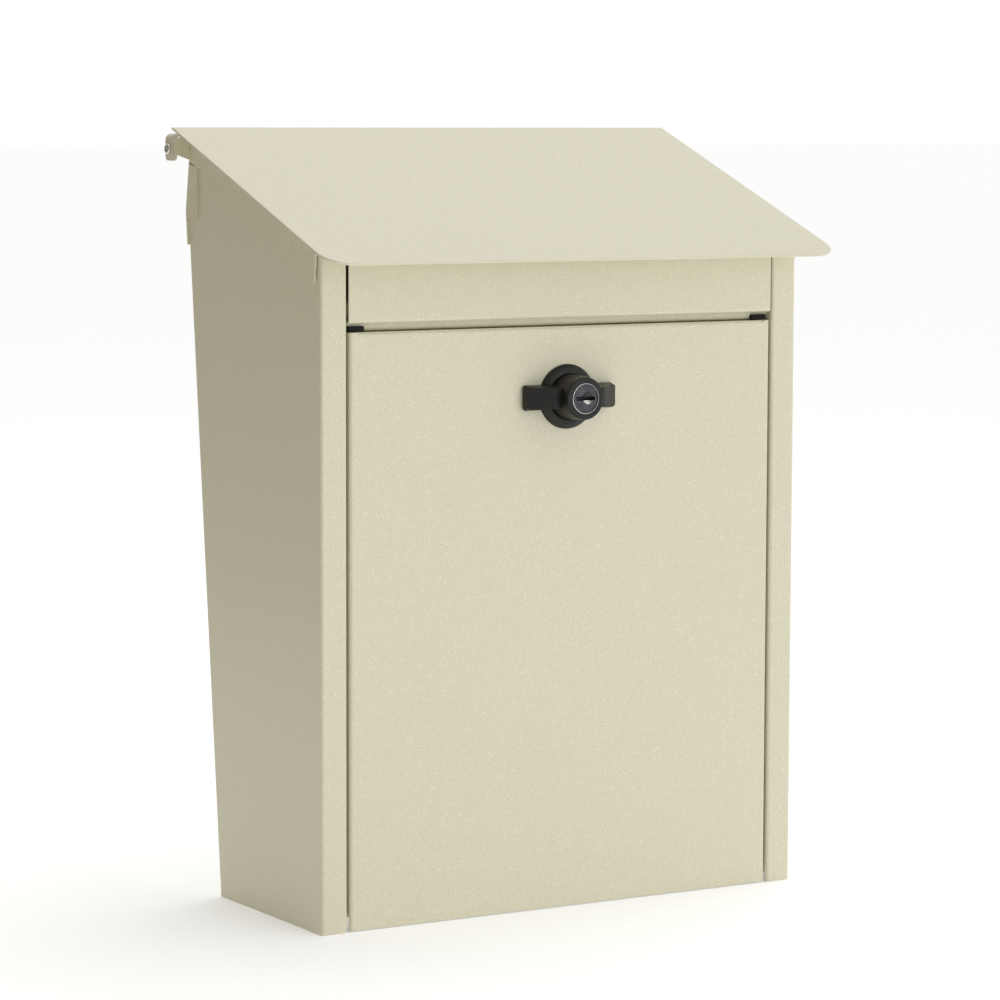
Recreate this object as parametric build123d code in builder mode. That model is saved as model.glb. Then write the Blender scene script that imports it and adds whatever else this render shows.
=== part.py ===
from build123d import *
import os
from math import atan2, cos, degrees, hypot, radians, sin, tan

# Wall mailbox of folded steel sheet: a body that widens towards the top, a sloping lid hinged along
# its back edge, and a front door hinged along its bottom edge and shut by a wing knob with a key lock.
# The front faces -Y and +Z is up. The origin is under the middle of the whole object.
# Depths are measured backwards from the body's front face.
os.makedirs("parts", exist_ok=True)

# ---- body sheet
body_width = 280.0
base_depth = 110.0  # front to back along the bottom edge
back_lean = 5.5  # degrees that the back leans backwards
sheet = 1.0
bend = 1.8  # outside radius of a fold
front_flange = 14.6  # strip of side panel folded across the front
flange_return = 14.0  # depth of the edge folded back from that strip
back_flange = 16.0
seat_gap = 0.1  # left between sheets that are welded together
floor_height = 7.5  # underside of the bottom panel
floor_lip = 12.0  # height of the bottom panel's upturned edges
drain_hole = 6.0
notch_clearance = 3.0  # inside the door's returns, for its pins
drain_inset = (50.0, 30.0)  # from the outer edges to the drain holes

# ---- lid
lid_sheet = 1.3
lid_slope = 20.56  # degrees
lid_overhang = 27.6  # in front of the body's front face
lid_side_overhang = 9.7
lid_over_pivot = 12.4  # straight up from the hinge's axis to the lid's top
lid_back_setback = 3.4  # of the lid's back edge, in front of the hinge's axis
lid_corner = 15.0
lid_edge = 0.5
lid_clearance = 2.2  # straight down from the lid's underside to the body's top edge

# ---- lid brackets, hinge rod and hinge strip
skirt_front = 2.0  # depth at which a bracket's skirt starts
skirt_slant = 2.0  # how far the skirt's front edge leans back at its foot
skirt_front_drop = 20.5  # skirt's height at its front end, below the lid
skirt_back_drop = 14.0  # the same at its back end
skirt_gap = 0.5  # between the side panel and the skirt
bracket_lip = 10.0  # bracket's edge welded under the lid
pivot_height = 384.0
pivot_inset = 0.5  # of the hinge's axis, in front of the back's plane
ear_reach = 4.2  # ear's edge behind the pivot
ear_below = 6.0  # from the hinge's axis to the ear's lower and upper edges
ear_above = 7.9
ear_corner = 3.5  # outside radius of the fold between the lid and the ear
ear_foot_corner = 2.5
ear_web_drop = 2.8  # below the axis, of the web's lower edge where it meets the ear
rod_diameter = 5.0
rod_running_gap = 0.08
knuckle_wall = 1.6
knuckle_length = 40.0
knuckle_inset = 40.0  # from the body's side to the middle of the outer knuckles
knuckle_count = 3
strip_bottom_drop = 49.0  # the strip's edges and its fold, below the hinge's axis
strip_kink_drop = 32.0
strip_top_drop = 6.0
strip_lean = 8.6  # degrees forwards above the kink, to clear the hinge
tab_depth = 11.5
tab_below_kink = 3.0
ear_screw_shank = 3.0
ear_screw_head = 5.4
ear_screw_head_height = 1.8
ear_screw_crown = 1.08  # radius round the head's edge
ear_screw_length = 10.0
screw_gap = 0.1  # around a screw's shank
recess_span = 0.55  # of a cross recess, as a share of its head
recess_slot = 0.14

# ---- front
upper_panel_height = 37.2
upper_panel_clearance = 4.4  # between the door and the upper panel
door_bottom = 0.6
door_gap = 1.5  # at each side of the door
door_return = 10.6
door_return_bottom = 7.5
door_foot = 1.5  # thickness of the door's edge below its side returns
door_pivot_depth = 4.5
door_pivot_height = 11.0
pin_diameter = 3.0
pin_head = 5.0
pin_running_gap = 0.07
pin_end_play = 0.28  # between a door's return and the shoulder of its pin
pin_tip = 0.8  # of the pin, into the door's return
upper_panel_gap = 1.0
upper_panel_lip = 12.0
rail_depth = 5.0  # front face of the rail seen in the gap over the door
rail_gap = 0.45  # over the door's top edge
rail_stop_gap = 0.4  # behind the door's returned edges
rail_overlap = 10.4  # behind the upper panel
rail_leg = 14.0
buffer_size = (8.6, 2.4, 2.6)
buffer_chamfer = 0.5
buffer_end = 2.2  # from the flange return to the buffer
buffer_stem = 2.0
lid_buffer_size = (10.0, 6.0)
lid_buffer_inset = 25.8  # from the flange return to the middle of a pad
lid_buffer_gap = 0.3

# ---- lock
lock_drop = 35.2  # of the lock's axis, below the door's top edge
rose_diameter = 32.6
rose_rim = 1.0
rose_crown = 3.4
rose_shoulder = (0.8, 0.62)  # where the dome bulges, as shares of the crown and of the way out to the rim
hub_diameter = 23.2
hub_front_diameter = 21.4
hub_front = 18.4
hub_gap = 0.1
wing_span = 53.0
wing_height = 12.8
wing_draft = 7.0
wing_corner = 1.5
wing_foot = 1.2  # behind the wings' ends, beyond the rose
wing_back = 3.8  # behind the wings, over the rose
wing_tip = 4.4
wing_shoulder = 12.5
wing_shoulder_spacing = 29.0
wing_rose_gap = 0.4
barrel_diameter = 18.0
barrel_length = 9.5  # behind the door's front face
barrel_gap = 0.15
spindle_diameter = 10.0
spindle_square = 7.0
spindle_gap = 0.08
sleeve_diameter = 15.4
sleeve_wall = 0.7
sleeve_length = 13.0
plug_gap = 0.08
plug_recess = 0.4
keyway = (11.4, 2.0, 6.0)
nut_flats = 24.0
nut_thickness = 4.0
washer_thickness = 0.6
cam_hold = 8.3  # the cam's overlap behind the rail's leg
cam_width = 14.0
cam_thickness = 2.0
cam_play = 0.4  # between the rail's leg and the cam
cam_screw_shank = 4.0
cam_screw_head = 8.0
cam_screw_head_height = 2.6
cam_screw_length = 8.0

# ---- wall fixings
wall_hole = 6.4
wall_hole_inset = 45.0  # from the body's sides
wall_hole_low = 70.0  # height of the lower holes
wall_hole_drop = 42.0  # of the upper holes, below the fold of the back
emboss_height = 6.0  # behind the plane of the back
emboss_base = 32.0
emboss_face = 18.0

# ---- places worked out from the sizes
half = body_width / 2
inner_half = half - sheet
lean = tan(radians(back_lean))
slope = radians(lid_slope)
pivot_depth = base_depth + pivot_height * lean - pivot_inset
strip_kink = pivot_height - strip_kink_drop
strip_top = pivot_height - strip_top_drop
strip_bottom = pivot_height - strip_bottom_drop
lid_width = body_width + lid_side_overhang * 2
lid_length = (lid_overhang + pivot_depth - lid_back_setback) / cos(slope)
lid_front_height = pivot_height + lid_over_pivot - (lid_overhang + pivot_depth) * tan(slope)
front = -(pivot_depth + ear_reach - lid_overhang) / 2
body_front_top = lid_front_height + lid_overhang * tan(slope) - lid_sheet / cos(slope) - lid_clearance
upper_panel_bottom = body_front_top - upper_panel_height
door_top = upper_panel_bottom - upper_panel_clearance
lock_height = door_top - lock_drop
rail_top = upper_panel_bottom + rail_overlap
skirt_x = half + skirt_gap + sheet / 2  # middle of a bracket's skirt
ear_x = lid_width / 2 - sheet / 2  # middle of an ear
rod_radius = rod_diameter / 2
flange_x = half - front_flange  # edge of the front opening
door_half = flange_x - door_gap
rail_web_z = door_top + rail_gap + sheet / 2
rail_leg_depth = door_return + rail_stop_gap + sheet / 2
cam_depth = rail_leg_depth + sheet / 2 + cam_play
cam_length = rail_web_z - rail_leg - lock_height + cam_hold
knuckle_spacing = (half - knuckle_inset) * 2 / (knuckle_count - 1)
wall_hole_spacing = body_width - wall_hole_inset * 2
wall_hole_heights = (wall_hole_low, strip_kink - wall_hole_drop)
lock_plane = Plane(origin=(0, front, lock_height), x_dir=(1, 0, 0), z_dir=(0, -1, 0))
back_normal = (0, cos(radians(back_lean)), -sin(radians(back_lean)))


def back_at(z):
    """Depth of the back's outside at a height, folded forwards above the kink."""
    if z <= strip_kink:
        return base_depth + z * lean
    return base_depth + strip_kink * lean - (z - strip_kink) * tan(radians(strip_lean))


def lid_top(depth):
    """Height of the lid's upper face at a depth."""
    return lid_front_height + (depth + lid_overhang) * tan(slope)


def lid_under(depth):
    """Height of the lid's lower face at a depth."""
    return lid_top(depth) - lid_sheet / cos(slope)


def body_top(depth):
    """Height of the side panels' top edge at a depth."""
    return lid_under(depth) - lid_clearance


def yz(depth, z):
    """Point of a side view, from a depth behind the front face and a height."""
    return (front + depth, z)


def folded(points, plane=Plane.XY):
    """Cross-section of a sheet folded along the middle line through the points."""
    with BuildSketch(plane) as section:
        with BuildLine():
            FilletPolyline(*points, radius=bend - sheet / 2)
        trace(line_width=sheet)
    return section.sketch


def side_view(points, x=0.0):
    """Closed outline in a side view, in the plane at x."""
    with BuildSketch(Plane.YZ.offset(x)) as view:
        with BuildLine():
            Polyline(*points, close=True)
        make_face()
    return view.sketch


def finish(builder, name):
    """Label a finished piece and write it."""
    builder.part.label = name
    export_step(builder.part, f"parts/{name}.step")


def finish_pair(builder, name):
    """Write a left piece and its mirror image on the right."""
    finish(builder, f"{name}_left")
    with BuildPart() as right:
        mirror(builder.part, about=Plane.YZ)
    finish(right, f"{name}_right")


# ---- side panels: web, front flange with its return, and a flange across the back
body_top_back = body_top(base_depth + strip_kink * lean)
web_top_z = body_top(back_at(body_top_back))
side_outline = [
    yz(0, 0),
    yz(base_depth, 0),
    yz(back_at(strip_kink), strip_kink),
    yz(back_at(web_top_z), web_top_z),
    yz(0, body_top(0)),
]
back_strip = [
    yz(back_at(0), 0),
    yz(back_at(strip_kink), strip_kink),
    yz(back_at(strip_kink) - sheet, strip_kink),
    yz(back_at(0) - sheet, 0),
]
side_plan = [
    (-half + sheet / 2, front + back_at(strip_kink) + sheet),
    (-half + sheet / 2, front + sheet / 2),
    (-flange_x - sheet / 2, front + sheet / 2),
    (-flange_x - sheet / 2, front + flange_return),
]
with BuildPart() as side_panel:
    extrude(folded(side_plan), amount=lid_front_height + lid_length)
    extrude(side_view(side_outline), amount=body_width, both=True, mode=Mode.INTERSECT)
    extrude(side_view(back_strip, -half), amount=back_flange)
    with Locations((-flange_x, front + bend + flange_return / 2, 0)):
        Box(bend * 2, flange_return, floor_height * 2, mode=Mode.SUBTRACT)
    with Locations((-flange_x, front + door_pivot_depth, door_pivot_height)):
        Cylinder(pin_diameter / 2 + seat_gap / 2, bend * 2, rotation=(0, 90, 0), mode=Mode.SUBTRACT)
    fillet(side_panel.edges().filter_by(Axis.Y).group_by(Axis.Z)[0].group_by(Axis.X)[-1], sheet / 2)
finish_pair(side_panel, "side_panel")

# ---- back panel: lies inside the side panels' back flanges, folded forwards at the top
back_inset = sheet + seat_gap
back_middle = back_inset + sheet / 2
panel_top_z = web_top_z - bend
back_line = [
    yz(back_at(floor_height) - back_middle, floor_height),
    yz(back_at(strip_kink) - back_middle, strip_kink),
    yz(back_at(panel_top_z) - back_middle, panel_top_z),
]
with BuildPart() as back_panel:
    extrude(folded(back_line, Plane.YZ), amount=inner_half - seat_gap, both=True)
    for hole_z in wall_hole_heights:
        seat = Plane(
            origin=(0, front + back_at(hole_z) - back_inset, hole_z), x_dir=(1, 0, 0), z_dir=back_normal
        )
        depth_out = emboss_height + back_inset
        with Locations(seat.offset(depth_out / 2)):
            with GridLocations(wall_hole_spacing, 0, 2, 1):
                Cone(emboss_base / 2, emboss_face / 2, depth_out)
        with Locations(seat.offset(depth_out / 2 - sheet)):
            with GridLocations(wall_hole_spacing, 0, 2, 1):
                Cone(emboss_base / 2, emboss_face / 2, depth_out, mode=Mode.SUBTRACT)
        with Locations(seat):
            with GridLocations(wall_hole_spacing, 0, 2, 1):
                Cylinder(wall_hole / 2, depth_out * 4, mode=Mode.SUBTRACT)
finish(back_panel, "back_panel")

# ---- bottom panel: a tray between the sides, notched at its front corners for the door's hinge
floor_half = inner_half - seat_gap
floor_front = door_pivot_depth + sheet / 2
notch_depth = flange_return + seat_gap
floor_plan = [
    (-floor_half + sheet / 2, floor_height + floor_lip),
    (-floor_half + sheet / 2, floor_height + sheet / 2),
    (floor_half - sheet / 2, floor_height + sheet / 2),
    (floor_half - sheet / 2, floor_height + floor_lip),
]
floor_back_inset = back_inset + sheet + seat_gap
floor_side = [
    yz(floor_front, floor_height),
    yz(back_at(floor_height) - floor_back_inset, floor_height),
    yz(back_at(floor_height + floor_lip) - floor_back_inset, floor_height + floor_lip),
    yz(floor_front, floor_height + floor_lip),
]
floor_back = [
    yz(back_at(floor_height) - floor_back_inset, floor_height),
    yz(back_at(floor_height + floor_lip) - floor_back_inset, floor_height + floor_lip),
    yz(back_at(floor_height + floor_lip) - floor_back_inset - sheet, floor_height + floor_lip),
    yz(back_at(floor_height) - floor_back_inset - sheet, floor_height),
]
notch_x = door_half - notch_clearance
with BuildPart() as bottom_panel:
    extrude(folded(floor_plan, Plane.XZ), amount=base_depth * 2, both=True)
    extrude(side_view(floor_side), amount=body_width, both=True, mode=Mode.INTERSECT)
    extrude(side_view(floor_back), amount=floor_half - bend, both=True)
    with Locations((0, front + notch_depth / 2, floor_height)):
        with GridLocations(half + notch_x, 0, 2, 1):
            Box(half - notch_x, notch_depth, floor_lip * 4, mode=Mode.SUBTRACT)
    with Locations((0, front + base_depth / 2, floor_height)):
        with GridLocations(body_width - drain_inset[0] * 2, base_depth - drain_inset[1] * 2, 2, 2):
            Cylinder(drain_hole / 2, bend * 4, mode=Mode.SUBTRACT)
finish(bottom_panel, "bottom_panel")

# ---- cross rail: ties the two front flanges together, backs the gap over the door and keeps the cam
rail_line = [
    yz(rail_depth + sheet / 2, rail_top),
    yz(rail_depth + sheet / 2, rail_web_z),
    yz(rail_leg_depth, rail_web_z),
    yz(rail_leg_depth, rail_web_z - rail_leg),
]
buffer_x = flange_x - buffer_end - buffer_size[0] / 2
buffer_z = door_top + rail_gap + buffer_size[2] / 2
with BuildPart() as cross_rail:
    extrude(folded(rail_line, Plane.YZ), amount=flange_x - seat_gap, both=True)
    with Locations((0, front + rail_depth, buffer_z)):
        with GridLocations(buffer_x * 2, 0, 2, 1):
            Cylinder(buffer_stem / 2 + screw_gap, bend * 3, rotation=(90, 0, 0), mode=Mode.SUBTRACT)
finish(cross_rail, "cross_rail")

# ---- door buffers: black rubber blocks pushed into the rail's ends
buffer_back = front + rail_depth
with BuildPart() as door_buffer:
    with Locations((-buffer_x, buffer_back - buffer_size[1] / 2, buffer_z)):
        Box(*buffer_size)
    chamfer(door_buffer.edges().filter_by(Axis.Y).group_by(Axis.X)[-1], buffer_chamfer)
    with Locations((-buffer_x, buffer_back + sheet, buffer_z)):
        Cylinder(buffer_stem / 2, sheet * 2, rotation=(90, 0, 0))
finish_pair(door_buffer, "door_buffer")

# ---- upper front panel: fixed sheet between the flanges, above the door
upper_top = body_top(0)
upper_line = [
    yz(rail_depth - seat_gap, upper_panel_bottom + sheet / 2),
    yz(sheet / 2, upper_panel_bottom + sheet / 2),
    yz(sheet / 2, upper_top - sheet / 2),
    yz(upper_panel_lip, upper_top - sheet / 2),
]
with BuildPart() as upper_front_panel:
    extrude(folded(upper_line, Plane.YZ), amount=flange_x - upper_panel_gap, both=True)
finish(upper_front_panel, "upper_front_panel")

# ---- lid buffers: two rubber pads on the upper panel's top edge that the lid rests on
pad_start = bend
pad_end = pad_start + lid_buffer_size[1]
pad_view = [
    yz(pad_start, upper_top),
    yz(pad_end, upper_top),
    yz(pad_end, lid_under(pad_end) - lid_buffer_gap),
    yz(pad_start, lid_under(pad_start) - lid_buffer_gap),
]
with BuildPart() as lid_buffers:
    for side in (-1, 1):
        pad_x = side * (flange_x - lid_buffer_inset)
        extrude(side_view(pad_view, pad_x), amount=lid_buffer_size[0] / 2, both=True)
finish(lid_buffers, "lid_buffers")

# ---- hinge strip: outside the top of the back, with knuckles for the rod and a tab round each side
knuckle_radius = rod_radius + rod_running_gap + knuckle_wall
strip_outer = [
    yz(back_at(strip_bottom), strip_bottom),
    yz(back_at(strip_kink), strip_kink),
    yz(back_at(strip_top), strip_top),
    yz(back_at(strip_top) + sheet, strip_top),
    yz(back_at(strip_kink) + sheet, strip_kink),
    yz(back_at(strip_bottom) + sheet, strip_bottom),
]
knuckle_web = [
    yz(back_at(strip_top - bend), strip_top - bend),
    yz(back_at(strip_top) + sheet, strip_top - bend),
    yz(pivot_depth, pivot_height - knuckle_radius),
    yz(pivot_depth, pivot_height),
    yz(pivot_depth - knuckle_radius, pivot_height),
    yz(back_at(strip_top), strip_top),
]
tab_front = back_at(strip_kink) - tab_depth
tab_bottom = strip_kink - tab_below_kink
skirt_slope = (
    body_top(pivot_depth) - skirt_back_drop - body_top(skirt_front) + skirt_front_drop
) / (pivot_depth - skirt_front)


def skirt_bottom(depth):
    """Height of a bracket skirt's lower edge at a depth."""
    return body_top(skirt_front) + lid_clearance - skirt_front_drop + skirt_slope * (depth - skirt_front)


tab_view = [
    yz(tab_front, tab_bottom),
    yz(back_at(tab_bottom) + sheet, tab_bottom),
    yz(back_at(strip_kink) + sheet, strip_kink),
    yz(back_at(strip_top - bend) + sheet, strip_top - bend),
    yz(tab_front, min(strip_top - bend, skirt_bottom(tab_front) - skirt_gap)),
]
with BuildPart() as hinge_strip:
    extrude(side_view(strip_outer), amount=half + seat_gap + sheet, both=True)
    for side in (-1, 1):
        tab_x = side * (half + seat_gap + sheet / 2)
        extrude(side_view(tab_view, tab_x), amount=sheet / 2, both=True)
    for index in range(knuckle_count):
        knuckle_x = (index - (knuckle_count - 1) / 2) * knuckle_spacing
        extrude(side_view(knuckle_web, knuckle_x), amount=knuckle_length / 2, both=True)
        with Locations((knuckle_x, front + pivot_depth, pivot_height)):
            Cylinder(knuckle_radius, knuckle_length, rotation=(0, 90, 0))
    with Locations((0, front + pivot_depth, pivot_height)):
        Cylinder(rod_radius + rod_running_gap, body_width, rotation=(0, 90, 0), mode=Mode.SUBTRACT)
finish(hinge_strip, "hinge_strip")

# ---- door pins: headed rivets through the flange returns, on which the door turns
pin_inside = door_half - sheet - pin_end_play
with BuildPart() as door_pin:
    pin_start = -flange_x - sheet - pin_running_gap
    pin_end = -pin_inside + pin_tip
    with BuildSketch(Plane.YZ.offset(pin_start - sheet)):
        with Locations(yz(door_pivot_depth, door_pivot_height)):
            Circle(pin_head / 2)
    extrude(amount=sheet)
    with BuildSketch(Plane.YZ.offset(pin_start)):
        with Locations(yz(door_pivot_depth, door_pivot_height)):
            Circle(pin_diameter / 2)
    extrude(amount=pin_end - pin_start)
    with BuildSketch(Plane.YZ.offset(-pin_inside)):
        with Locations(yz(door_pivot_depth, door_pivot_height)):
            Circle((pin_diameter + pin_head) / 4)
    extrude(amount=pin_end + pin_inside)
finish_pair(door_pin, "door_pin")

# ---- lid panel: one flat sloping sheet with rounded front corners
lid_middle = -lid_overhang + lid_length / 2 * cos(slope)
lid_plane = Plane(
    origin=(0, front + lid_middle, lid_top(lid_middle)), x_dir=(1, 0, 0), z_dir=(0, -sin(slope), cos(slope))
)
with BuildPart() as lid_panel:
    with BuildSketch(lid_plane) as lid_shape:
        Rectangle(lid_width, lid_length)
        fillet(lid_shape.vertices().group_by(Axis.Y)[0], lid_corner)
    extrude(amount=-lid_sheet)
    fillet(lid_panel.faces().sort_by(SortBy.AREA)[-2:].edges(), lid_edge)
finish(lid_panel, "lid_panel")

# ---- lid brackets: a skirt outside each side panel, a web across its back end, and an ear folded down
web_depth = pivot_depth - ear_reach - ear_corner
web_plane = Plane.XZ.offset(-front - web_depth)
ear_bottom = pivot_height - ear_below
ear_top = pivot_height + ear_above - sheet / 2
skirt_view = [
    yz(skirt_front + skirt_slant, skirt_bottom(skirt_front + skirt_slant)),
    yz(web_depth + sheet, ear_bottom),
    yz(web_depth + sheet, lid_under(web_depth)),
    yz(web_depth, lid_under(web_depth)),
    yz(skirt_front, lid_under(skirt_front)),
]
lip_back = web_depth - bend
lip_view = [
    yz(skirt_front, lid_under(skirt_front)),
    yz(lip_back, lid_under(lip_back)),
    yz(lip_back, lid_under(lip_back) - sheet / cos(slope)),
    yz(skirt_front, lid_under(skirt_front) - sheet / cos(slope)),
]
web_view = [
    (-skirt_x + sheet / 2, ear_bottom),
    (-ear_x, pivot_height - ear_web_drop),
    (-ear_x, ear_top - ear_corner),
    (-ear_x + ear_corner, ear_top),
    (-skirt_x + sheet / 2, ear_top),
]
with BuildPart() as lid_bracket:
    extrude(side_view(skirt_view, -skirt_x), amount=sheet / 2, both=True)
    with BuildSketch(web_plane):
        with BuildLine():
            Polyline(*web_view, close=True)
        make_face()
    extrude(amount=-sheet)
    with BuildSketch(web_plane):
        with BuildLine():
            FilletPolyline(
                (-skirt_x, ear_top), (-ear_x, ear_top), (-ear_x, ear_bottom), radius=ear_corner - sheet / 2
            )
        trace(line_width=sheet)
    extrude(amount=web_depth - pivot_depth - ear_reach)
    ear_edges = lid_bracket.edges().filter_by(Axis.X).filter_by_position(Axis.X, -lid_width, -skirt_x - sheet)
    fillet(ear_edges.group_by(Axis.Z)[0], ear_foot_corner)
    extrude(side_view(lip_view, -skirt_x - sheet / 2), amount=bracket_lip)
    with Locations((-ear_x, front + pivot_depth, pivot_height)):
        Cylinder(ear_screw_shank / 2 + screw_gap, bend * 2, rotation=(0, 90, 0), mode=Mode.SUBTRACT)
finish_pair(lid_bracket, "lid_bracket")

# ---- hinge rod: turns in the knuckles, with a tapped hole in each end for the ear screws
rod_half = ear_x - sheet / 2 - seat_gap
rod_bore = ear_screw_length + sheet
with BuildPart() as hinge_rod:
    with Locations((0, front + pivot_depth, pivot_height)):
        Cylinder(rod_radius, rod_half * 2, rotation=(0, 90, 0))
        for side in (-1, 1):
            with Locations((side * (rod_half - rod_bore / 2), 0, 0)):
                Cylinder(ear_screw_shank / 2 + screw_gap, rod_bore, rotation=(0, 90, 0), mode=Mode.SUBTRACT)
finish(hinge_rod, "hinge_rod")

# ---- ear screws: pan heads on the outside of the ears
head_back = ear_x + sheet / 2
with BuildPart() as ear_screw:
    with BuildSketch(Plane.YZ.offset(-head_back)):
        with Locations(yz(pivot_depth, pivot_height)):
            Circle(ear_screw_head / 2)
    extrude(amount=-ear_screw_head_height)
    fillet(ear_screw.edges().group_by(Axis.X)[0], ear_screw_crown)
    with BuildSketch(Plane.YZ.offset(-head_back)):
        with Locations(yz(pivot_depth, pivot_height)):
            Circle(ear_screw_shank / 2)
    extrude(amount=ear_screw_length)
    with BuildSketch(Plane.YZ.offset(-head_back - ear_screw_head_height)):
        with Locations(yz(pivot_depth, pivot_height)):
            Rectangle(ear_screw_head * recess_span, ear_screw_head * recess_slot)
            Rectangle(ear_screw_head * recess_slot, ear_screw_head * recess_span)
    extrude(amount=ear_screw_head_height / 2, mode=Mode.SUBTRACT)
finish_pair(ear_screw, "ear_screw")

# ---- door panel: a shallow tray, open along the bottom
door_plan = [
    (-door_half + sheet / 2, front + door_return),
    (-door_half + sheet / 2, front + sheet / 2),
    (door_half - sheet / 2, front + sheet / 2),
    (door_half - sheet / 2, front + door_return),
]
door_side = [
    yz(0, door_bottom),
    yz(door_foot, door_bottom),
    yz(door_foot, door_return_bottom),
    yz(door_return, door_return_bottom),
    yz(door_return, door_top),
    yz(0, door_top),
]
door_head = [
    yz(sheet / 2, door_top - bend * 2),
    yz(sheet / 2, door_top - sheet / 2),
    yz(door_return, door_top - sheet / 2),
]
with BuildPart() as door_panel:
    extrude(folded(door_plan), amount=door_top)
    extrude(side_view(door_side), amount=body_width, both=True, mode=Mode.INTERSECT)
    with Locations((0, front, door_top)):
        Box(door_half * 2 - bend * 4, bend, bend * 3, mode=Mode.SUBTRACT)
    extrude(folded(door_head, Plane.YZ), amount=door_half - bend, both=True)
    with Locations((0, front, lock_height)):
        Cylinder(barrel_diameter / 2 + barrel_gap, bend * 4, rotation=(90, 0, 0), mode=Mode.SUBTRACT)
    with Locations((0, front + door_pivot_depth, door_pivot_height)):
        Cylinder(pin_diameter / 2 + pin_running_gap, body_width, rotation=(0, 90, 0), mode=Mode.SUBTRACT)
finish(door_panel, "door_panel")

# ---- lock housing: domed rose on the door's face with a threaded barrel through it
rose_inner = hub_diameter / 2 + hub_gap
rose_radius = rose_diameter / 2
rose_bulge = rose_inner + (rose_radius - rose_inner) * rose_shoulder[1]
spindle_bore = spindle_diameter / 2 + spindle_gap
with BuildPart() as lock_housing:
    with BuildSketch(Plane.YZ) as rose_profile:
        with BuildLine():
            rim = (-rose_rim, rose_radius)
            crown = (-rose_crown, rose_inner)
            Polyline(
                crown,
                (-rose_rim / 2, rose_inner),
                (-rose_rim / 2, spindle_bore),
                (barrel_length, spindle_bore),
                (barrel_length, barrel_diameter / 2),
                (0, barrel_diameter / 2),
                (0, rose_radius),
                rim,
            )
            ThreePointArc(rim, (-rose_crown * rose_shoulder[0], rose_bulge), crown)
        make_face()
    revolve(axis=Axis.Y)
    lock_housing.part.position = (0, front, lock_height)
finish(lock_housing, "lock_housing")

# ---- lock washer and nut: clamp the housing to the door from behind
with BuildPart() as lock_washer:
    with BuildSketch(lock_plane.offset(-sheet)):
        Circle(nut_flats / 2)
        Circle(barrel_diameter / 2 + barrel_gap, mode=Mode.SUBTRACT)
    extrude(amount=-washer_thickness)
finish(lock_washer, "lock_washer")

with BuildPart() as lock_nut:
    with BuildSketch(lock_plane.offset(-sheet - washer_thickness)):
        RegularPolygon(nut_flats / 2, 6, major_radius=False)
        Circle(barrel_diameter / 2 + seat_gap, mode=Mode.SUBTRACT)
    extrude(amount=-nut_thickness)
    chamfer(lock_nut.faces().sort_by(Axis.Y)[-1].outer_wire().edges(), sheet / 2)
finish(lock_nut, "lock_nut")

# ---- wing knob: a tapered hub with two wings that slope down to their tips
hub_back = rose_rim / 2 + seat_gap
hub_taper = degrees(atan2((hub_diameter - hub_front_diameter) / 2, hub_front - hub_back))
sleeve_radius = sleeve_diameter / 2
sleeve_back = hub_front - sleeve_length
wing_inner = rose_radius + wing_rose_gap
wing_plan = [
    (-wing_span / 2, front - wing_foot),
    (-wing_span / 2, front - wing_tip),
    (-wing_shoulder_spacing / 2, front - wing_shoulder),
    (wing_shoulder_spacing / 2, front - wing_shoulder),
    (wing_span / 2, front - wing_tip),
    (wing_span / 2, front - wing_foot),
    (wing_inner, front - wing_foot),
    (wing_inner, front - wing_back),
    (-wing_inner, front - wing_back),
    (-wing_inner, front - wing_foot),
]
with BuildPart() as wing_knob:
    with BuildSketch(Plane.XY.offset(lock_height)):
        with BuildLine():
            Polyline(*wing_plan, close=True)
        make_face()
    extrude(amount=wing_height, both=True)
    with BuildSketch(lock_plane.offset(wing_foot)):
        RectangleRounded(wing_span, wing_height, wing_corner)
    extrude(amount=hub_front, taper=wing_draft, mode=Mode.INTERSECT)
    with BuildSketch(lock_plane.offset(hub_back)):
        Circle(hub_diameter / 2)
    extrude(amount=hub_front - hub_back, taper=hub_taper)
    fillet(wing_knob.faces().sort_by(Axis.Y)[0].edges(), sheet)
    with BuildSketch(lock_plane.offset(sleeve_back)):
        Circle(sleeve_radius + seat_gap)
    extrude(amount=sleeve_length, mode=Mode.SUBTRACT)
    with BuildSketch(lock_plane):
        Rectangle(spindle_square + seat_gap * 2, spindle_square + seat_gap * 2)
    extrude(amount=sleeve_back, mode=Mode.SUBTRACT)
finish(wing_knob, "wing_knob")

# ---- cylinder sleeve: thin chromed ring round the key plug
sleeve_inner = sleeve_radius - sleeve_wall
with BuildPart() as cylinder_sleeve:
    with BuildSketch(lock_plane.offset(sleeve_back)):
        Circle(sleeve_radius)
        Circle(sleeve_inner, mode=Mode.SUBTRACT)
    extrude(amount=sleeve_length + seat_gap * 2)
finish(cylinder_sleeve, "cylinder_sleeve")

# ---- key plug: turns in the sleeve, with a level keyway
with BuildPart() as key_plug:
    with BuildSketch(lock_plane.offset(sleeve_back + seat_gap)):
        Circle(sleeve_inner - plug_gap)
    extrude(amount=sleeve_length - plug_recess)
    with BuildSketch(lock_plane.offset(hub_front)):
        SlotOverall(keyway[0], keyway[1])
    extrude(amount=-keyway[2], mode=Mode.SUBTRACT)
finish(key_plug, "key_plug")

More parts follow.
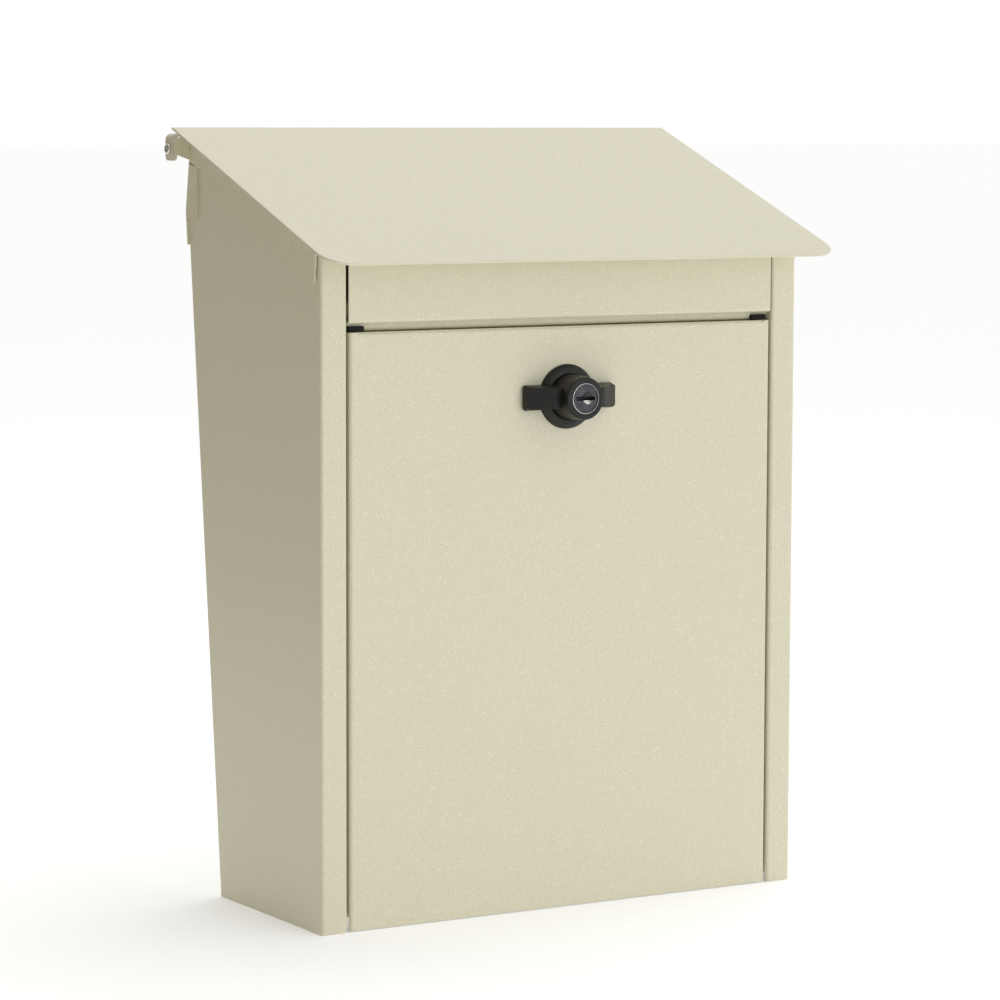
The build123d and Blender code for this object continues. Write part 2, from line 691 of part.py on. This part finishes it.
# ---- spindle: round in the barrel, square in the hub and in the cam, tapped for the cam screw
square_front = sleeve_back - seat_gap
round_front = rose_rim / 2
cam_back = cam_depth + cam_thickness
with BuildPart() as spindle:
    with BuildSketch(lock_plane.offset(round_front)):
        Circle(spindle_diameter / 2)
    extrude(amount=-(round_front + barrel_length))
    with BuildSketch(lock_plane.offset(square_front)):
        Rectangle(spindle_square, spindle_square)
    extrude(amount=-(square_front + cam_back))
    with BuildSketch(lock_plane.offset(-cam_back)):
        Circle(cam_screw_shank / 2 + screw_gap)
    extrude(amount=cam_screw_length, mode=Mode.SUBTRACT)
finish(spindle, "spindle")

# ---- cam: points sideways when the door is free and up behind the rail when it is locked
with BuildPart() as cam:
    with BuildSketch(lock_plane.offset(-cam_depth)) as cam_shape:
        with Locations((-(cam_length - cam_width / 2) / 2, 0)):
            Rectangle(cam_length + cam_width / 2, cam_width)
        fillet(cam_shape.vertices(), cam_width / 3)
        Rectangle(spindle_square + seat_gap * 2, spindle_square + seat_gap * 2, mode=Mode.SUBTRACT)
    extrude(amount=-cam_thickness)
finish(cam, "cam")

with BuildPart() as cam_washer:
    with BuildSketch(lock_plane.offset(-cam_back - seat_gap)):
        Circle(cam_width / 2)
        Circle(cam_screw_shank / 2 + screw_gap, mode=Mode.SUBTRACT)
    extrude(amount=-washer_thickness)
finish(cam_washer, "cam_washer")

head_front = cam_back + seat_gap + washer_thickness
with BuildPart() as cam_screw:
    with BuildSketch(lock_plane.offset(-head_front)):
        Circle(cam_screw_head / 2)
    extrude(amount=-cam_screw_head_height)
    fillet(cam_screw.edges().group_by(Axis.Y)[-1], cam_screw_head_height / 2)
    with BuildSketch(lock_plane.offset(-head_front)):
        Circle(cam_screw_shank / 2)
    extrude(amount=cam_screw_length - sheet)
    with BuildSketch(lock_plane.offset(-head_front - cam_screw_head_height)):
        Rectangle(cam_screw_head * recess_span, cam_screw_head * recess_slot)
        Rectangle(cam_screw_head * recess_slot, cam_screw_head * recess_span)
    extrude(amount=cam_screw_head_height / 2, mode=Mode.SUBTRACT)
finish(cam_screw, "cam_screw")
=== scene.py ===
# %% [markdown]
# A wall mailbox of folded steel, painted cream, with a black wing lock. Its solids come ready made from the
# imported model, and this lesson gives them their looks. Everything is in metres. The front faces -Y, +Z is up,
# and the object stands on the ground at Z = 0.

# %% Load the model
from math import radians

import bpy
from mathutils import Matrix, Vector


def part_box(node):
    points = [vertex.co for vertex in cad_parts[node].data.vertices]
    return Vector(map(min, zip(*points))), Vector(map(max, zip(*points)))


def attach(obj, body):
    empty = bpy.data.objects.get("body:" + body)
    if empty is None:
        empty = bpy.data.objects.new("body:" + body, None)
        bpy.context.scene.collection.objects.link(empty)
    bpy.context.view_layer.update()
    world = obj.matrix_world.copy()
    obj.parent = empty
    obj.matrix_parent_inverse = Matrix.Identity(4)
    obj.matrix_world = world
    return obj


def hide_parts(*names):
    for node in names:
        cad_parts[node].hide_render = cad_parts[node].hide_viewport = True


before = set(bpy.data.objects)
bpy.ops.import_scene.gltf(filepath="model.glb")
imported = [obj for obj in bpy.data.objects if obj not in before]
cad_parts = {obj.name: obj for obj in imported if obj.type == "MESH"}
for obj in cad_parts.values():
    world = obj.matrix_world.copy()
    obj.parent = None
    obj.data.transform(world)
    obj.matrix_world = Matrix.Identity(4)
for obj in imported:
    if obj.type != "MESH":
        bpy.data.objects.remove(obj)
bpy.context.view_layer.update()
MM = 0.001

# %% [markdown]
# Places come from the model's own pieces. The body's front face is the front of a side panel, and the lock's
# axis is the middle of the key plug.

# %% Places to measure from
front_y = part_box("side_panel_left")[0].y
plug_low, plug_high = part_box("key_plug")
plug_middle = (plug_low + plug_high) / 2
print("front face at", round(front_y, 4), "lock height", round(plug_middle.z, 4))

# %% [markdown]
# The camera is a long lens, a little under two metres away, to the left of the box and slightly above its
# middle. It looks down by six degrees. Its place is measured from the middle of the body's front face.

# %% Camera
VIEW_YAW = 30.82
VIEW_PITCH = 5.818
VIEW_ROLL = 0.171
VIEW_LENS = 136.68
SENSOR = 36.0
VIEW_FROM = Vector((-1.00525, -1.62, 0.40274))

bpy.ops.object.camera_add(location=VIEW_FROM + Vector((0, front_y, 0)))
camera = bpy.context.object
turn = Matrix.Rotation(radians(-VIEW_YAW), 4, "Z")
tilt = Matrix.Rotation(radians(90 - VIEW_PITCH), 4, "X")
roll = Matrix.Rotation(radians(VIEW_ROLL), 4, "Z")
camera.rotation_euler = (turn @ tilt @ roll).to_euler()
camera.data.lens = VIEW_LENS
camera.data.sensor_width = SENSOR
bpy.context.scene.camera = camera
print("camera at", [round(v, 3) for v in camera.location])

# %% [markdown]
# A small set of helpers keeps the cells short. Each selects in code what a person would click on: first
# everything is let go, then one object is made active.

# %% Helpers for objects


def let_go():
    """Leave edit mode and deselect everything."""
    if bpy.context.object and bpy.context.object.mode != "OBJECT":
        bpy.ops.object.mode_set(mode="OBJECT")
    bpy.ops.object.select_all(action="DESELECT")


def hold(piece):
    """Select one piece alone and make it active."""
    let_go()
    piece.select_set(True)
    bpy.context.view_layer.objects.active = piece


def settle(piece):
    """Put a piece's place, turn and scale into its mesh."""
    hold(piece)
    bpy.ops.object.transform_apply(location=True, rotation=True, scale=True)
    return piece


def apply_modifier(piece, kind, **settings):
    """Add a modifier, set it and apply it."""
    hold(piece)
    modifier = piece.modifiers.new(kind.lower(), kind)
    for key, value in settings.items():
        setattr(modifier, key, value)
    bpy.ops.object.modifier_apply(modifier=modifier.name)
    return piece


def smooth(piece, angle):
    """Shade smoothly across faces that meet at less than an angle in degrees."""
    hold(piece)
    bpy.ops.object.shade_smooth_by_angle(angle=radians(angle))
    return piece


def dress(piece, material):
    """Give a piece one material all over."""
    piece.data.materials.clear()
    piece.data.materials.append(material)
    return piece


# %% [markdown]
# Materials are built from nodes. One helper makes a Principled material and another adds a node with its
# inputs set, so that each finish below reads as a short list of what it does.

# %% Helpers for materials


def linear(red, green, blue):
    """Colour as it is seen on a screen, from 0 to 255, as the shader wants it."""
    parts = [value / 255 for value in (red, green, blue)]
    return [p / 12.92 if p <= 0.04045 else ((p + 0.055) / 1.055) ** 2.4 for p in parts] + [1.0]


class Finish:
    """A Principled material and its node tree."""

    def __init__(self, name, colour, roughness, metallic=0.0):
        self.material = bpy.data.materials.new(name)
        self.material.use_nodes = True
        self.tree = self.material.node_tree
        self.shader = self.tree.nodes["Principled BSDF"]
        self.set("Base Color", colour)
        self.set("Roughness", roughness)
        self.set("Metallic", metallic)
        self.place = self.add("ShaderNodeTexCoord").outputs["Object"]

    def set(self, socket, value):
        self.shader.inputs[socket].default_value = value

    def add(self, kind, links=(), **inputs):
        node = self.tree.nodes.new(kind)
        for key, value in inputs.items():
            if key in node.inputs:
                node.inputs[key].default_value = value
            else:
                setattr(node, key, value)
        for output, name in links:
            self.tree.links.new(output, node.inputs[name])
        return node

    def noise(self, size, detail=2.0, stretch=(1, 1, 1)):
        """Noise whose lumps are about size metres wide, stretched along an axis where that is under 1."""
        place = self.add("ShaderNodeMapping", [(self.place, "Vector")], Scale=stretch)
        links = [(place.outputs["Vector"], "Vector")]
        return self.add("ShaderNodeTexNoise", links, Scale=1 / size, Detail=detail).outputs["Fac"]

    def spread(self, value, low, high, start=0.3, end=0.7):
        """Stretch a value that mostly runs from start to end so that it runs from low to high."""
        node = self.add("ShaderNodeMapRange", [(value, "Value")])
        for key, number in (("From Min", start), ("From Max", end), ("To Min", low), ("To Max", high)):
            node.inputs[key].default_value = number
        return node.outputs["Result"]

    def blend(self, amount, first, second):
        """Colour that goes from first to second with an amount from 0 to 1."""
        node = self.tree.nodes.new("ShaderNodeMix")
        node.data_type = "RGBA"
        self.tree.links.new(amount, node.inputs["Factor"])
        for socket, colour in ((node.inputs[6], first), (node.inputs[7], second)):
            if isinstance(colour, bpy.types.NodeSocket):
                self.tree.links.new(colour, socket)
            else:
                socket.default_value = colour
        return node.outputs[2]

    def drive(self, value, socket):
        self.tree.links.new(value, self.shader.inputs[socket])

    def bump(self, layers):
        """Height layers, each a value, its depth in metres and its strength, stacked into one normal."""
        normal = None
        for value, depth, strength in layers:
            links = [(value, "Height")] + ([(normal, "Normal")] if normal else [])
            node = self.add("ShaderNodeBump", links, Distance=depth, Strength=strength)
            normal = node.outputs["Normal"]
        self.drive(normal, "Normal")


# %% [markdown]
# The steel is powder coated in a warm cream. Powder coat is never mirror flat: it flows into a faint orange
# peel of lumps two or three millimetres wide, with a fine grain on top, and its colour wanders a little from
# grain to grain, with a pale speck here and there. All of it is noise on Object coordinates, so it has the same
# size on every sheet.

# %% Cream powder coat
CREAM = linear(219, 215, 189)
CREAM_LIGHT = linear(226, 222, 198)
CREAM_DARK = linear(208, 204, 177)
CREAM_SPARK = linear(229, 225, 202)


def cream_paint(name):
    paint = Finish(name, CREAM, 0.42)
    paint.set("Specular IOR Level", 0.42)
    paint.set("Coat Weight", 0.25)
    paint.set("Coat Roughness", 0.22)
    grain = paint.noise(0.7 * MM, detail=4.0)
    cloud = paint.noise(60 * MM, detail=2.0)
    peel = paint.noise(2.4 * MM, detail=1.0)
    spark = paint.noise(1.0 * MM, detail=0.0)
    tone = paint.blend(paint.spread(grain, 0.0, 1.0), CREAM_DARK, CREAM_LIGHT)
    tone = paint.blend(paint.spread(cloud, 0.0, 0.25), tone, CREAM)
    paint.drive(paint.blend(paint.spread(spark, 0.0, 1.0, 0.68, 0.78), tone, CREAM_SPARK), "Base Color")
    paint.drive(paint.spread(grain, 0.34, 0.5), "Roughness")
    paint.bump([(peel, 0.05 * MM, 0.25), (grain, 0.05 * MM, 0.45)])
    return paint.material


cream = cream_paint("cream_paint")
for node_name in ("back_panel", "cross_rail", "hinge_strip", "lid_panel"):
    dress(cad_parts[node_name], cream)
print("painted", cream.name)

# %% [markdown]
# Paint rounds off every cut edge of a sheet and pools along it, and that thin round catches the light. The model
# has sharp cut edges, so most sheets that are seen get a softened copy that stands for them: the copy's
# vertices are merged, its flat faces are joined up again, and a bevel of about a quarter of a millimetre goes
# round every sharp edge. Its normals are then weighted by area, which keeps the large faces flat.

# %% Softened sheets


MERGE_DISTANCE = 0.002 * MM
FLAT_ANGLE = 0.5
CUT_ANGLE = 50
SMOOTH_ANGLE = 30
SHEET_ROUND = 0.22 * MM
BRACKET_ROUND = 0.3 * MM


def copy_of(node_name, name):
    """Copy a node's mesh, with its vertices merged and its flat faces whole."""
    hold(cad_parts[node_name])
    bpy.ops.object.duplicate()
    piece = bpy.context.object
    piece.name = name
    bpy.ops.object.mode_set(mode="EDIT")
    bpy.ops.mesh.select_all(action="SELECT")
    bpy.ops.mesh.remove_doubles(threshold=MERGE_DISTANCE)
    bpy.ops.mesh.dissolve_limited(angle_limit=radians(FLAT_ANGLE))
    bpy.ops.object.mode_set(mode="OBJECT")
    return piece


def softened(node_name, body, material, width, segments=2, angle=CUT_ANGLE):
    """Copy a node, round its sharp edges and let the copy stand for it."""
    piece = copy_of(node_name, node_name + "_soft")
    apply_modifier(piece, "BEVEL", width=width, segments=segments, limit_method="ANGLE",
                   angle_limit=radians(angle))
    smooth(piece, SMOOTH_ANGLE)
    apply_modifier(piece, "WEIGHTED_NORMAL", weight=100, keep_sharp=True)
    dress(piece, material)
    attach(piece, body)
    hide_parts(node_name)
    print(piece.name, "faces", len(piece.data.polygons))
    return piece


for node_name in ("side_panel_left", "side_panel_right", "upper_front_panel", "bottom_panel"):
    softened(node_name, "body", cream, SHEET_ROUND)
for node_name in ("lid_bracket_left", "lid_bracket_right"):
    softened(node_name, "lid", cream, BRACKET_ROUND)
softened("door_panel", "door", cream, SHEET_ROUND)

# %% [markdown]
# The wing knob and its rose are moulded in black plastic with a fine spark-eroded grain. It is a very dark
# olive black rather than pure black, and the grain keeps its highlights soft. The rubber buffers are duller.

# %% Black plastic and rubber


def black_plastic(name):
    plastic = Finish(name, linear(22, 22, 20), 0.36)
    plastic.set("Specular IOR Level", 0.34)
    grain = plastic.noise(0.35 * MM, detail=2.0)
    rub = plastic.noise(7 * MM, detail=3.0)
    plastic.drive(plastic.blend(plastic.spread(rub, 0.0, 1.0), linear(19, 19, 18), linear(31, 30, 26)), "Base Color")
    plastic.drive(plastic.spread(rub, 0.3, 0.46), "Roughness")
    plastic.bump([(grain, 0.02 * MM, 0.35)])
    return plastic.material


def black_rubber(name):
    rubber = Finish(name, linear(24, 24, 23), 0.75)
    rubber.set("Specular IOR Level", 0.25)
    speck = rubber.noise(0.5 * MM, detail=4.0)
    rubber.drive(rubber.blend(rubber.spread(speck, 0.0, 1.0), linear(20, 20, 19), linear(32, 32, 30)), "Base Color")
    rubber.drive(rubber.spread(speck, 0.68, 0.85), "Roughness")
    rubber.bump([(speck, 0.03 * MM, 0.4)])
    return rubber.material


ROSE_ROUND = 0.15 * MM
KNOB_ROUND = 0.35 * MM
RIDGE_ANGLE = 25
plastic_black = black_plastic("black_plastic")
rubber_black = black_rubber("black_rubber")
softened("lock_housing", "door", plastic_black, ROSE_ROUND)
softened("wing_knob", "knob", plastic_black, KNOB_ROUND, segments=3, angle=RIDGE_ANGLE)
for node_name in ("door_buffer_left", "door_buffer_right", "lid_buffers"):
    dress(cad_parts[node_name], rubber_black)

# %% [markdown]
# Three metals do the rest. Zinc plating is pale and slightly cloudy, the screws in the lid's ears are bright,
# and the lock's ring and key plug are dark burnished castings. On the zinc the roughness is stretched along X,
# the way in which a rod is drawn.

# %% Metals


def zinc_steel(name):
    zinc = Finish(name, linear(176, 178, 180), 0.36, metallic=1.0)
    spangle = zinc.noise(3 * MM, detail=3.0)
    scratch = zinc.noise(0.8 * MM, detail=2.0, stretch=(0.08, 1, 1))
    zinc.drive(zinc.blend(zinc.spread(spangle, 0.0, 1.0), linear(158, 161, 165), linear(192, 193, 193)), "Base Color")
    zinc.drive(zinc.spread(scratch, 0.28, 0.46), "Roughness")
    zinc.bump([(scratch, 0.01 * MM, 0.3)])
    return zinc.material


def bright_steel(name):
    bright = Finish(name, linear(214, 213, 210), 0.16, metallic=1.0)
    wear = bright.noise(0.6 * MM, detail=3.0)
    tone = bright.blend(bright.spread(wear, 0.0, 1.0), linear(203, 202, 199), linear(226, 226, 224))
    bright.drive(tone, "Base Color")
    bright.drive(bright.spread(wear, 0.1, 0.26), "Roughness")
    bright.bump([(wear, 0.006 * MM, 0.25)])
    return bright.material


def dark_zinc(name):
    dark = Finish(name, linear(78, 79, 83), 0.42, metallic=1.0)
    casting = dark.noise(0.45 * MM, detail=4.0)
    cloud = dark.noise(4 * MM, detail=2.0)
    dark.drive(dark.blend(dark.spread(cloud, 0.0, 1.0), linear(70, 71, 75), linear(88, 89, 93)), "Base Color")
    dark.drive(dark.spread(casting, 0.36, 0.54), "Roughness")
    dark.bump([(casting, 0.012 * MM, 0.4)])
    return dark.material


zinc = zinc_steel("zinc_steel")
bright = bright_steel("bright_steel")
burnished = dark_zinc("dark_zinc")
for node_name in ("hinge_rod", "door_pin_left", "door_pin_right", "lock_washer", "lock_nut", "spindle"):
    dress(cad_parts[node_name], zinc)
for node_name in ("cam", "cam_washer", "cam_screw"):
    dress(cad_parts[node_name], zinc)
for node_name in ("ear_screw_left", "ear_screw_right"):
    dress(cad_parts[node_name], bright)

# %% [markdown]
# The ring round the key face is burnished like the face itself, and only its rounded rim is bright. A shallow
# round dish is pressed into the face to lead the key into its slot. The dish's lower half, whose faces turn up,
# and the slot's two ends get the bright steel as a painted highlight where light falls on them.

# %% Ring and key face
RIM = 0.3 * MM
DISH_RADIUS = 3.2 * MM
DISH_SHIFT = 1.0 * MM
DISH_DEPTH = 1.6 * MM
SLOT_LENGTH = 11.4 * MM
SLOT_HALF_HEIGHT = 1.1 * MM
NEAR = 0.1 * MM


# Used for the ring's polished rim and for the painted highlight on the key face.
def bare_or_painted_highlight(piece, chosen):
    """Give a second, bright material to the faces whose middle and normal pass a test."""
    piece.data.materials.append(bright)
    for face in piece.data.polygons:
        if chosen(face.center, face.normal):
            face.material_index = 1


def lock_ring():
    """The key plug's sleeve, with its outer rim rounded and bright."""
    ring = softened("cylinder_sleeve", "knob", burnished, RIM, segments=3)
    low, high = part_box("cylinder_sleeve")
    inside_rim = (high.x - low.x) / 2 - RIM
    bare_or_painted_highlight(ring, lambda place, normal: (place - plug_middle).xz.length > inside_rim and place.y < low.y + RIM)
    return ring


def key_face():
    """The key plug, with a shallow dish cut out of its face by a ball."""
    face = copy_of("key_plug", "key_face")
    ball_radius = (DISH_RADIUS**2 + DISH_DEPTH**2) / (2 * DISH_DEPTH)
    centre = Vector((plug_middle.x + DISH_SHIFT, plug_low.y - ball_radius + DISH_DEPTH, plug_middle.z))
    let_go()
    bpy.ops.mesh.primitive_uv_sphere_add(segments=64, ring_count=48, radius=ball_radius, location=centre)
    ball = bpy.context.object
    apply_modifier(face, "BOOLEAN", operation="DIFFERENCE", object=ball, solver="EXACT")
    hold(ball)
    bpy.ops.object.delete()
    smooth(face, RIDGE_ANGLE)
    dress(face, burnished)

    # Painted highlight: the dish's faces that turn up and the slot's end walls take the bright steel.
    def is_painted_highlight(place, normal):
        on_ball = abs((place - centre).length - ball_radius) < NEAR / 2
        in_lower_dish = on_ball and normal.y > -0.999 and normal.z > 0
        in_slot = abs(place.z - plug_middle.z) < SLOT_HALF_HEIGHT
        at_slot_end = in_slot and abs(place.x) > SLOT_LENGTH / 2 - NEAR and abs(normal.x) > 0.9
        return in_lower_dish or at_slot_end

    bare_or_painted_highlight(face, is_painted_highlight)
    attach(face, "key_core")
    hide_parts("key_plug")
    return face


print("lock front", lock_ring().name, key_face().name)

# %% [markdown]
# The object stands on a wide white floor under an even white sky. The light of the sky fades towards the left,
# so the left side is the darkest face, and the faces that turn towards the front and the top are nearly as
# bright as the sky. The camera itself always sees a white sky. A soft box overhead lifts the lid, one in front
# fills the door, and a narrow strip in front draws a bright line along the folds. A warm grey board stands
# close on the left and takes light off that side. The camera doesn't see it and it casts no shadow, so it
# neither hides the object nor darkens the floor.

# %% Floor
FLOOR_SIZE = 80

let_go()
bpy.ops.mesh.primitive_plane_add(size=FLOOR_SIZE, location=(0, 0, 0))
floor = bpy.context.object
floor.name = "studio_floor"
floor_paint = Finish("studio_floor", linear(252, 252, 252), 0.9)
floor_paint.set("Emission Color", (0.95, 0.965, 1.0, 1.0))
floor_paint.set("Emission Strength", 0.28)
dress(floor, floor_paint.material)
print("floor", floor.name)

# %% Shade board
BOARD_PLACE = (-0.62, 0.55, 0.6)
BOARD_HEIGHT = 1.2
BOARD_LENGTH = 1.9

let_go()
bpy.ops.mesh.primitive_plane_add(size=1, location=BOARD_PLACE)
board = bpy.context.object
board.name = "shade_board"
board.scale = (BOARD_HEIGHT, BOARD_LENGTH, 1)
board.rotation_euler = (0, radians(90), 0)
settle(board)
dress(board, Finish("shade_board", linear(139, 133, 119), 0.9).material)
board.visible_camera = False
board.visible_shadow = False
print("board", board.name)

# %% Sky
SKY_LEFT = (0.18, 0.162, 0.115, 1.0)
SKY_RIGHT = (1.0, 1.0, 1.0, 1.0)
FADE_START = -0.8
FADE_END = 0.3

world = bpy.data.worlds.new("studio_sky")
bpy.context.scene.world = world
world.use_nodes = True
sky = world.node_tree
facing = sky.nodes.new("ShaderNodeTexCoord")
split = sky.nodes.new("ShaderNodeSeparateXYZ")
fade = sky.nodes.new("ShaderNodeMapRange")
fade.interpolation_type = "SMOOTHSTEP"
fade.inputs["From Min"].default_value = FADE_START
fade.inputs["From Max"].default_value = FADE_END
shade = sky.nodes.new("ShaderNodeMix")
shade.data_type = "RGBA"
shade.inputs[6].default_value = SKY_LEFT
shade.inputs[7].default_value = SKY_RIGHT
sky.links.new(facing.outputs["Generated"], split.inputs["Vector"])
sky.links.new(split.outputs["X"], fade.inputs["Value"])
rays = sky.nodes.new("ShaderNodeLightPath")
white_to_camera = sky.nodes.new("ShaderNodeMath")
white_to_camera.operation = "MAXIMUM"
sky.links.new(fade.outputs["Result"], white_to_camera.inputs[0])
sky.links.new(rays.outputs["Is Camera Ray"], white_to_camera.inputs[1])
sky.links.new(white_to_camera.outputs["Value"], shade.inputs["Factor"])
sky.links.new(shade.outputs[2], sky.nodes["Background"].inputs["Color"])
print("sky", world.name)

# %% Lamps

def soft_box(name, place, target, size, power):
    """An area light, size wide and high, that faces a target."""
    bpy.ops.object.light_add(type="AREA", location=place)
    lamp = bpy.context.object
    lamp.name = name
    lamp.data.shape = "RECTANGLE"
    lamp.data.size, lamp.data.size_y = size
    lamp.data.energy = power
    aim = Vector(target) - Vector(place)
    lamp.rotation_euler = aim.to_track_quat("-Z", "Y").to_euler()
    lamp.visible_camera = False
    return lamp


BODY_MIDDLE = (0, 0, 0.2)
soft_box("overhead_box", (0.6, 0.3, 2.4), BODY_MIDDLE, (1.2, 1.2), 9)
soft_box("front_box", (0.9, -2.4, 1.2), BODY_MIDDLE, (0.8, 0.8), 0.6)
soft_box("edge_strip", (0.35, -1.6, 0.42), BODY_MIDDLE, (0.06, 0.5), 1.6)
bpy.context.scene.view_settings.view_transform = "Standard"
